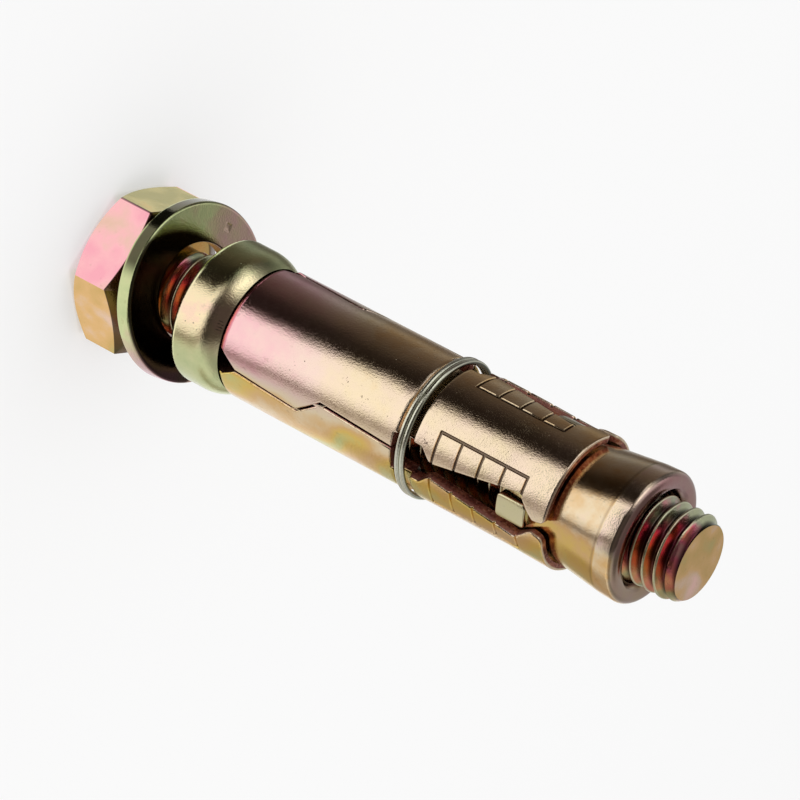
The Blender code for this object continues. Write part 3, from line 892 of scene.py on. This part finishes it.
# %% Stamped ladder
LADDER_ANGLE = 24.8
LADDER_START = 48.65 * MM - SEGMENT_START
LADDER_END = 59.85 * MM - SEGMENT_START
RUNGS = 5
STAMP_HALF_WIDTH = 0.2 * MM
STAMP_DEPTH = 0.2 * MM
rung_places = [LADDER_START + (LADDER_END - LADDER_START) * i / (RUNGS - 1)
               for i in range(RUNGS)]
rail = radians(LADDER_ANGLE) * SHIELD_RADIUS


def groove_depth(away):
    """Depth of a stamped line at a distance from its middle."""
    share = min(1.0, max(0.0, (STAMP_HALF_WIDTH - abs(away)) / (0.11 * MM)))
    return STAMP_DEPTH * share * share * (3 - 2 * share)


def stamped(x, along):
    """How deep the stamp goes at a place on the flat blank."""
    depth = 0.0
    overrun = 0.1 * MM
    if LADDER_START - overrun < along < LADDER_END + overrun:
        depth = groove_depth(abs(x) - rail)
    if abs(x) > rail - overrun:
        for place in rung_places:
            depth = max(depth, groove_depth(along - place))
    return depth


# %% Segment mesh
RIM_ROUNDING = 0.2 * MM
RIM_STEPS = ((0.2, 0.55), (0.28, 0.27), (0.3, 0.13), (0.25, 0.05), (0.2, 0.0))
COLUMN_ANGLE = 2.5
ROW_SPACING = 1.5 * MM


def cut_sheet(bm, places, normal):
    """Cuts across a sheet at each place along a direction, and keeps both sides."""
    for place in places:
        bmesh.ops.bisect_plane(bm, geom=whole(bm), dist=0.004 * MM,
                               plane_co=Vector(normal) * place, plane_no=normal)


def segment_blank():
    """The flat blank. Its sheared edges take the second material."""
    bm = bmesh.new()
    outline = segment_outline()
    under = bm.faces.new([bm.verts.new((x, 0.0, along)) for x, along in outline])
    grown = bmesh.ops.extrude_face_region(bm, geom=[under], use_keep_orig=True)["geom"]
    top = [g for g in grown if isinstance(g, bmesh.types.BMFace)][0]
    bmesh.ops.translate(bm, vec=(0, -(SEGMENT_WALL - RIM_ROUNDING), 0), verts=top.verts[:])
    bmesh.ops.recalc_face_normals(bm, faces=bm.faces)
    for face in bm.faces:
        face.material_index = int(abs(face.normal.y) < 0.5)
    for thickness, rise in RIM_STEPS:
        bmesh.ops.inset_region(bm, faces=[top], thickness=thickness * RIM_ROUNDING,
                               depth=rise * RIM_ROUNDING, use_even_offset=True)
    for face in bm.faces:
        if face.normal.y < -0.3:
            face.material_index = 0
    return bm


profile = segment_profile()
bm_flat = segment_blank()
reach = max(abs(v.co.x) for v in bm_flat.verts)
column = radians(COLUMN_ANGLE) * SHIELD_RADIUS
columns = [i * column for i in range(-int(reach / column), int(reach / column) + 1)]
stamp_lines = (-0.2, -0.145, -0.09, 0.0, 0.09, 0.145, 0.2)
columns += [side * rail + s * MM for side in (-1, 1) for s in stamp_lines]
rows = [row[0] for row in profile[1:-1]]
rows += [place + s * MM for place in rung_places for s in stamp_lines]
rows += [i * ROW_SPACING for i in range(4, int(SEGMENT_LENGTH / ROW_SPACING))]
cut_sheet(bm_flat, sorted(columns), (1, 0, 0))
cut_sheet(bm_flat, sorted(rows), (0, 0, 1))
stamp_layer = bm_flat.verts.layers.float.new("stamp")
rim_layer = bm_flat.verts.layers.float.new("rim")
for vert in bm_flat.verts:
    x, height, along = vert.co.x, -vert.co.y, vert.co.z
    outer_radius, inner_radius = radii_at(profile, along)
    share = height / SEGMENT_WALL
    radius = inner_radius + (outer_radius - inner_radius) * share
    vert[rim_layer] = min(1.0, (SEGMENT_WALL - height) / RIM_ROUNDING)
    if share > 0.5:
        radius -= stamped(x, along)
        vert[stamp_layer] = stamped(x, along) / STAMP_DEPTH
    vert.co = around(radius, x / SHIELD_RADIUS * 180 / pi, along + SEGMENT_START)
bmesh.ops.recalc_face_normals(bm_flat, faces=bm_flat.faces)
print("segment:", len(bm_flat.faces), "faces")

# %% [markdown]
# The three segments are one stamping, so one mesh is copied and turned by 120 degrees.
# The colour pattern lies in the room and not on the mesh, so each copy takes its own piece
# of it, as the film never drains twice alike.

# %% Place the segments
def segment_film(recipe, x, y, z, radius, angle):
    rim = recipe.add("ShaderNodeAttribute", {"attribute_name": "rim"}, output=2)
    top = 1.0 - recipe.math("ABSOLUTE", angle + 30.0).step(62.0, 80.0)
    near_ferrule = 1.0 - z.step(22.0, 38.0)
    olive = (1.0 - angle.step(-58.0, -24.0)) * (1.0 - near_ferrule)
    place = recipe.add("ShaderNodeTexCoord", output=3)
    warp = noise(recipe, place, 130.0, 1.0) * 9.0
    bands = recipe.math("SINE", z * 0.45 + y * 0.88 + warp) * 0.13
    edge = (1.0 - z.step(20.3, 20.7)) * 0.2
    # The rims are pushed towards cream and pink on the ramp, a painted highlight.
    return (0.33 + bands * (1.0 - top) + top * (near_ferrule * 0.27 + 0.24 + edge)
            - top * olive * 0.13 + rim.step(0.25, 0.7) * 0.25)


# Angle, height and size in mm of the spots where the plating is worn
WORN_PLACES = ((12.1, 29.6, 0.6), (9.8, 38.9, 0.9), (-10.9, 46.2, 0.9), (3.0, 36.0, 0.8),
               (14.0, 47.5, 1.0), (24.0, 60.5, 0.8))


def segment_shade(recipe, x, y, z, radius, angle):
    """Painted shade in the stamped lines, on the inside and on the upper side of the
    shoulder; specks of wear on the rims and worn spots.
    """
    stamp = recipe.add("ShaderNodeAttribute", {"attribute_name": "stamp"}, output=2)
    rim = recipe.add("ShaderNodeAttribute", {"attribute_name": "rim"}, output=2)
    place = recipe.add("ShaderNodeTexCoord", output=3)
    specks = noise(recipe, place, 2600.0, 3.0, 0.7).step(0.52, 0.6)
    inside = 1.0 - radius.step(6.2, 6.6)
    shoulder = (1.0 - z.step(20.2, 20.6)) * (1.0 - angle.step(-42.0, -18.0)) * 0.7
    faint = 1.0 - angle.hump(62.0, 26.0) * 0.75
    scars = noise(recipe, place, 3400.0, 2.0, 0.6)
    worn = 0.0
    for turn, height, size in WORN_PLACES:
        across, along = (angle - turn) * 0.13, z - height
        away = recipe.math("SQRT", across * across + along * along)
        worn = worn + (1.0 - away.step(size * 0.4, size)) * scars.step(0.6, 0.66)
    return (stamp.step(0.15, 0.7) * faint * 0.85 + specks * rim.hump(0.35, 0.35) * 0.5
            + worn * 0.8 + inside * 0.85 + shoulder).clamp()


segment_zinc = passivated_zinc("segment zinc", segment_film, drift=0.12, mottle=0.1,
                               waves=0.12, darken=segment_shade)
cut_edge = sheared_steel("sheared edge")
for index in range(3):
    copy = bm_flat.copy()
    bmesh.ops.rotate(copy, cent=(0, 0, 0), verts=copy.verts,
                     matrix=Matrix.Rotation(radians(SHIELD_ANGLE + index * 120), 3, "Z"))
    finish_piece(f"curled_segment_{index + 1}", copy, f"segment_{index + 1}",
                 f"shield_segment_{index + 1}", [segment_zinc, cut_edge],
                 sharp=50)
bm_flat.free()

# %% [markdown]
# ## The wire ring
#
# Two turns of spring wire snap into the groove. A small circle spun through 720 degrees,
# with a climb of one wire width in each turn, is the real coil. Its two cut ends lie at the
# back.

# %% Wire ring
WIRE_RADIUS = 0.31 * MM
RING_RADIUS = 7.66 * MM
RING_PITCH = 0.6 * MM
RING_STEPS = 160

bm_ring = bmesh.new()
bmesh.ops.create_circle(bm_ring, cap_ends=False, radius=WIRE_RADIUS, segments=20)
bmesh.ops.rotate(bm_ring, cent=(0, 0, 0), verts=bm_ring.verts,
                 matrix=Matrix.Rotation(radians(90), 3, "X"))
bmesh.ops.translate(bm_ring, vec=(RING_RADIUS, 0, RING_MIDDLE - RING_PITCH),
                    verts=bm_ring.verts)
bmesh.ops.rotate(bm_ring, cent=(0, 0, 0), verts=bm_ring.verts,
                 matrix=Matrix.Rotation(radians(80), 3, "Z"))
first_end = bm_ring.edges[:]
spun = bmesh.ops.spin(bm_ring, geom=bm_ring.verts[:] + bm_ring.edges[:], cent=(0, 0, 0),
                      axis=(0, 0, 1), dvec=(0, 0, RING_PITCH / RING_STEPS), angle=4 * pi,
                      steps=2 * RING_STEPS)
last_end = [g for g in spun["geom_last"] if isinstance(g, bmesh.types.BMEdge)]
for end in (first_end, last_end):
    bmesh.ops.contextual_create(bm_ring, geom=end)
bmesh.ops.recalc_face_normals(bm_ring, faces=bm_ring.faces)

WIRE_FILM = [(0.0, colour(222, 228, 200)), (0.5, colour(230, 228, 208)),
             (1.0, colour(232, 216, 192))]


def wire_film(recipe, x, y, z, radius, angle):
    return 0.4 + angle.hump(-180.0, 90.0) * 0.1


def wire_shade(recipe, x, y, z, radius, angle):
    """Painted shade between the turns and against the groove, darkest on the upper side."""
    return (1.0 - radius.step(7.72, 7.88)) * (0.92 - angle.step(0.0, 40.0) * 0.4)


wire_zinc = passivated_zinc("wire zinc", wire_film, drift=0.5, mottle=0.2, roughness=0.1,
                            pits=0.3, darken=wire_shade, colours=WIRE_FILM,
                            offset=(0.01, 0.02, 0.03), shade=colour(40, 40, 30))
ring = finish_piece("wire_ring", bm_ring, "shield", "clip_ring",
                    [wire_zinc])

# %% [markdown]
# ## The cone nut
#
# The nut is turned: a seven degree cone that wedges the segments apart, a narrow band, and
# a rounded base. Three keys stand in the gaps of the shield, so that the nut can't turn with
# the bolt. They are cut from one blank with rounded corners, and carried onto the nut.

# %% Nut body
NUT_BORE = 5.15 * MM
NUT_CONE = radians(7)
NUT_BAND_LENGTH = 2.65 * MM
NUT_BAND_ANGLE = radians(2.5)
NUT_EDGE_RADIUS = 0.95 * MM
NUT_COUNTERSINK = 0.65 * MM
NUT_IN_SHIELD = SEGMENT_START + SEGMENT_LENGTH - NUT_START
cone_at_end = SHIELD_RADIUS + FOOT_FLARE - FOOT_WALL - 0.22 * MM
small = cone_at_end - NUT_IN_SHIELD * tan(NUT_CONE)
band_start = NUT_LENGTH - NUT_BAND_LENGTH
large = small + band_start * tan(NUT_CONE)
edge_centre = NUT_LENGTH - NUT_EDGE_RADIUS
band_end = large + (edge_centre - band_start) * tan(NUT_BAND_ANGLE)
support = 0.05 * MM
outline = [(NUT_BORE, 0.08 * MM), (NUT_BORE + 0.08 * MM, 0.0), (small - 0.1 * MM, 0.0),
           (small, 0.1 * MM),
           (large - support * tan(NUT_CONE), band_start - support), (large, band_start),
           (large + support * tan(NUT_BAND_ANGLE), band_start + support)]
outline += arc((band_end - NUT_EDGE_RADIUS, edge_centre), NUT_EDGE_RADIUS, 0, 90, steps=12)
outline += [(NUT_BORE + NUT_COUNTERSINK + support, NUT_LENGTH),
            (NUT_BORE + NUT_COUNTERSINK, NUT_LENGTH - 0.03 * MM),
            (NUT_BORE + 0.02 * MM, NUT_LENGTH - NUT_COUNTERSINK),
            (NUT_BORE, NUT_LENGTH - NUT_COUNTERSINK - 0.05 * MM)]
bm_nut = lathe(outline)

# %% Nut keys
KEY_WIDTH = 2.8 * MM
KEY_LENGTH = 3.7 * MM
KEY_FROM_END = 0.3 * MM
KEY_RADIUS = SHIELD_RADIUS - 0.5 * MM
KEY_CORNER = 0.45 * MM
half = KEY_WIDTH / 2
key_outline = rounded([(-half, KEY_FROM_END, KEY_CORNER), (half, KEY_FROM_END, KEY_CORNER),
                       (half, KEY_FROM_END + KEY_LENGTH, KEY_CORNER),
                       (-half, KEY_FROM_END + KEY_LENGTH, KEY_CORNER)], steps=6, support=0)
bm_key = bmesh.new()
crown = bm_key.faces.new([bm_key.verts.new((x, -KEY_RADIUS, along))
                          for x, along in key_outline])
root = bmesh.ops.extrude_face_region(bm_key, geom=[crown], use_keep_orig=True)["geom"]
root_verts = [g for g in root if isinstance(g, bmesh.types.BMVert)]
bmesh.ops.translate(bm_key, vec=(0, KEY_RADIUS - (NUT_BORE + small) / 2, 0),
                    verts=root_verts)
bmesh.ops.recalc_face_normals(bm_key, faces=bm_key.faces)
bmesh.ops.bevel(bm_key, geom=crown.edges[:], offset=0.22 * MM, segments=4, profile=0.5,
                affect="EDGES", material=-1)
cut_sheet(bm_key, [i * 0.35 * MM for i in range(-3, 4)], (1, 0, 0))
for vert in bm_key.verts:
    depth = -vert.co.y
    if depth > KEY_RADIUS - 0.5 * MM:
        vert.co.y = -(depth - (1 - cos(vert.co.x / KEY_RADIUS)) * KEY_RADIUS)
for index in range(3):
    copy = bm_key.copy()
    bmesh.ops.rotate(copy, cent=(0, 0, 0), verts=copy.verts,
                     matrix=Matrix.Rotation(radians(SHIELD_ANGLE + 60 + index * 120), 3, "Z"))
    join_into(bm_nut, copy)
bm_key.free()
bmesh.ops.translate(bm_nut, vec=(0, 0, NUT_START), verts=bm_nut.verts)


def nut_film(recipe, x, y, z, radius, angle):
    below = angle.step(22.0, 34.0) * (1.0 - angle.step(110.0, 150.0))
    return 0.46 - below * 0.16 + z.step(69.6, 69.75) * 0.12 + z.step(71.6, 72.1) * 0.2


# Painted shade and reflection: dark in the bore, a little darker on the cone below the ridge,
# a dark line at the ridge and a darker rounded end.
def nut_shade(recipe, x, y, z, radius, angle):
    thread = (1.0 - radius.step(5.15, 5.5)) * 0.85
    cone = (1.0 - z.step(69.5, 69.62)) * 0.12 + z.hump(69.45, 0.3) * 0.25
    end = z.step(71.4, 72.1) * 0.68
    return (thread + cone + end).clamp()


def nut_key(recipe, x, y, z, radius, angle):
    return (1.0 - z.step(60.8, 61.4)) * 0.7


nut_zinc = passivated_zinc("nut zinc", nut_film, drift=0.2, mottle=0.16, grain=0.5,
                           waves=0.05, darken=nut_shade, lighten=nut_key,
                           offset=(0.0, 0.0, 0.07), shade=colour(96, 58, 46))
nut = finish_piece("keyed_nut", bm_nut, "nut", "cone_nut", [nut_zinc],
                   sharp=40)

# %% [markdown]
# ## The camera
#
# The photograph's camera was worked out from the anchor's own circles and hexagon. A 202 mm
# lens half a metre away looks down on the floor, rolled so that the bolt points to the lower
# right.

# %% Camera
right = Vector((-0.46833, 0.42285, 0.7758))
down = Vector((0.88355, 0.22503, 0.41072))
forward = Vector((-0.00091, 0.87782, -0.479))
lens = bpy.data.cameras.new("camera")
lens.sensor_width = 36.0
lens.lens = 201.9
lens.clip_start = 0.01
camera = bpy.data.objects.new("camera", lens)
scene.collection.objects.link(camera)
turned = Matrix((right, -down, -forward)).transposed().to_4x4()
camera.matrix_world = Matrix.Translation((0.0, -0.41318, 0.26397)) @ turned
scene.camera = camera

# %% [markdown]
# ## Floor and world
#
# Bright metal shows what stands round it, so its look is the room's. The world and the floor
# are white at strength 1, which shows each colour as it is written. Metal and glass see that
# white too.

# %% Floor and world
world = bpy.data.worlds.new("studio")
scene.world = world
world.use_nodes = True
nodes, links = world.node_tree.nodes, world.node_tree.links
background = nodes["Background"]
light_path = nodes.new("ShaderNodeLightPath")
seen = light_path.outputs["Is Camera Ray"]
for ray in ("Is Glossy Ray", "Is Transmission Ray"):
    either = nodes.new("ShaderNodeMath")
    either.operation = "MAXIMUM"
    links.new(seen, either.inputs[0])
    links.new(light_path.outputs[ray], either.inputs[1])
    seen = either.outputs[0]
level = nodes.new("ShaderNodeMapRange")
level.inputs["To Min"].default_value = 0.9
level.inputs["To Max"].default_value = 1.0
links.new(seen, level.inputs["Value"])
links.new(level.outputs[0], background.inputs["Strength"])
background.inputs["Color"].default_value = (1.0, 1.0, 1.0, 1.0)

bm_floor = bmesh.new()
bmesh.ops.create_grid(bm_floor, x_segments=1, y_segments=1, size=3.0)
bmesh.ops.translate(bm_floor, vec=(0, 0, -0.02 * MM), verts=bm_floor.verts)
floor_mesh = bpy.data.meshes.new("floor")
bm_floor.to_mesh(floor_mesh)
bm_floor.free()
floor = bpy.data.objects.new("floor", floor_mesh)
scene.collection.objects.link(floor)
paper = Recipe("white paper")
matte = paper.add("ShaderNodeBsdfDiffuse", inputs={"Color": (0.5, 0.5, 0.5, 1.0)})
glow = paper.add("ShaderNodeEmission",
                 inputs={"Color": (1.0, 1.0, 1.0, 1.0), "Strength": 0.4})
both = paper.add("ShaderNodeAddShader", inputs={0: matte, 1: glow})
paper.add("ShaderNodeOutputMaterial", inputs={"Surface": both})
floor_mesh.materials.append(paper.material)

# %% [markdown]
# One large soft lamp overhead gives the floor a gentle contact shadow. The metal gets its
# light from the cards in the next cells, so it doesn't mirror the lamp.

# %% Lamp
softbox = bpy.data.lights.new("softbox", "AREA")
softbox.shape = "DISK"
softbox.size = 0.5
softbox.energy = 1.6
lamp = bpy.data.objects.new("softbox", softbox)
scene.collection.objects.link(lamp)
lamp.location = (0.05, -0.05, 0.8)
lamp.visible_glossy = False

# %% [markdown]
# ## What the metal reflects
#
# An all-white room makes metal look like plastic. A product photographer stands dark and
# grey cards round it, called flags, and their reflections draw its shape. Two cards do that
# here: a disc on the floor, which the shield's sides mirror, and a dome, which the crimp, the
# thread and the end faces mirror. Each is painted by direction round the bolt. Only
# reflections see them, so the floor in the picture stays white and keeps its shadow.

# %% Card helpers
def grey(value, warmth=0.0):
    return (value, value * (1 - 0.25 * warmth), value * (1 - 0.4 * warmth))


def tones(recipe, angle, stops):
    """A tone for each direction, from (degrees, luminance, warmth) stops."""
    return recipe.ramp((angle + 180.0) / 360.0,
                       [((place + 180) / 360, grey(value, warmth))
                        for place, value, warmth in stops])


def card(name, bm, recipe, tone):
    """A card that only reflections see."""
    glow = recipe.add("ShaderNodeEmission", inputs={"Color": tone, "Strength": 1.0})
    recipe.add("ShaderNodeOutputMaterial", inputs={"Surface": glow})
    mesh = bpy.data.meshes.new(name)
    bm.to_mesh(mesh)
    bm.free()
    mesh.materials.append(recipe.material)
    placed = bpy.data.objects.new(name, mesh)
    scene.collection.objects.link(placed)
    for ray in ("camera", "diffuse", "shadow", "transmission"):
        setattr(placed, f"visible_{ray}", False)


# %% Floor card
CARD_RADIUS = 450 * MM
recipe = Recipe("floor card paper")
place, x, y, z, radius, angle = bolt_coordinates(recipe)
bend = (radius - 50.0) * 0.2 * angle.step(15.0, 35.0)
bend = bend + ((radius - 45.0) / 60.0).clamp() * 12.0 * (1.0 - angle.step(-2.0, 10.0))
far = tones(recipe, angle + bend, [
    (-180, 0.9, 0), (-155, 0.5, 0), (-138, 0.13, 0.5), (-126, 0.12, 0.3), (-114, 0.28, 0),
    (-102, 0.15, 0.4), (-90, 0.11, 0.7), (-78, 0.08, 0.9), (-66, 0.055, 1),
    (-54, 0.026, 1), (-42, 0.014, 1), (-25, 0.014, 1), (-20, 0.06, 1), (-16, 0.5, 0.3),
    (-12, 0.95, 0), (28, 1.0, 0), (39, 0.86, 0), (47, 0.7, 0.2), (51, 0.15, 0.8),
    (54, 0.16, 0.8), (60, 0.55, 0.3), (72, 0.62, 0), (115, 0.65, 0), (150, 0.9, 0),
    (180, 0.9, 0)])
open_edge = angle.hump(-66.0, 18.0).step(0.05, 0.6) * radius.step(190.0, 230.0)
far = recipe.mix(open_edge, far, (0.5, 0.5, 0.48, 1.0))
crimp_flag = angle.hump(18.0, 50.0).step(0.05, 0.3) * radius.step(145.0, 175.0)
far = recipe.mix(crimp_flag, far, (0.03, 0.028, 0.025, 1.0))
under_nut = angle.hump(125.0, 45.0).step(0.1, 0.5) * radius.step(66.0, 88.0)
far = recipe.mix(under_nut, far, (0.4, 0.36, 0.3, 1.0))
near_flag = angle.hump(-54.0, 20.0).step(0.1, 0.3) * radius.step(10.8, 11.6)
near = recipe.mix(near_flag, (1.0, 1.0, 1.0, 1.0), (0.03, 0.03, 0.025, 1.0))
bm_card = bmesh.new()
bmesh.ops.create_circle(bm_card, cap_ends=True, radius=CARD_RADIUS, segments=96)
bmesh.ops.translate(bm_card, vec=(0, 0, 0.05 * MM), verts=bm_card.verts)
card("floor_card", bm_card, recipe, recipe.mix(radius.step(20.0, 25.0), near, far))

# %% Sky card
recipe = Recipe("sky card paper")
place, x, y, z, radius, angle = bolt_coordinates(recipe)
rise = recipe.math("ARCTAN2", z, radius) * (180 / pi)
upper = tones(recipe, angle, [
    (-180, 0.55, 0), (-145, 0.5, 0), (-125, 0.16, 0), (-104, 0.06, 0), (-90, 0.08, 0),
    (-78, 0.2, 0), (-66, 0.55, 0), (-54, 0.36, 0), (-42, 0.26, 0), (-30, 0.12, 0.3),
    (-20, 0.04, 0.5), (50, 0.04, 0.5), (66, 0.4, 0), (90, 0.7, 0), (180, 0.55, 0)])
middle = tones(recipe, angle, [
    (-180, 0.55, 0), (-145, 0.5, 0), (-125, 0.3, 0), (-110, 0.12, 0), (-96, 0.12, 0),
    (-85, 0.27, 0), (-75, 0.56, 0), (-66, 1.2, 0), (-40, 1.2, 0), (-30, 0.5, 0.2),
    (-20, 0.06, 0.5), (45, 0.06, 0.5), (66, 0.3, 0.2), (90, 0.33, 0), (120, 0.33, 0),
    (180, 0.55, 0)])
high = tones(recipe, angle, [
    (-180, 0.55, 0), (-130, 0.6, 0), (-100, 0.8, 0), (-60, 0.75, 0), (-36, 0.4, 0),
    (-20, 0.06, 0.5), (45, 0.06, 0.5), (66, 0.4, 0), (90, 0.6, 0), (180, 0.55, 0)])
low_sky = recipe.mix(rise.step(8.0, 20.0), upper, middle)
low_sky = recipe.mix(rise.step(28.0, 38.0), low_sky, high)
sky = recipe.mix(rise.step(45.0, 62.0), low_sky, (0.2, 0.2, 0.18, 1.0))
bm_dome = bmesh.new()
bmesh.ops.create_uvsphere(bm_dome, u_segments=64, v_segments=32, radius=CARD_RADIUS)
bmesh.ops.bisect_plane(bm_dome, geom=whole(bm_dome), plane_co=(0, 0, 0),
                       plane_no=(0, 0, 1), clear_inner=True)
card("sky_card", bm_dome, recipe, sky)
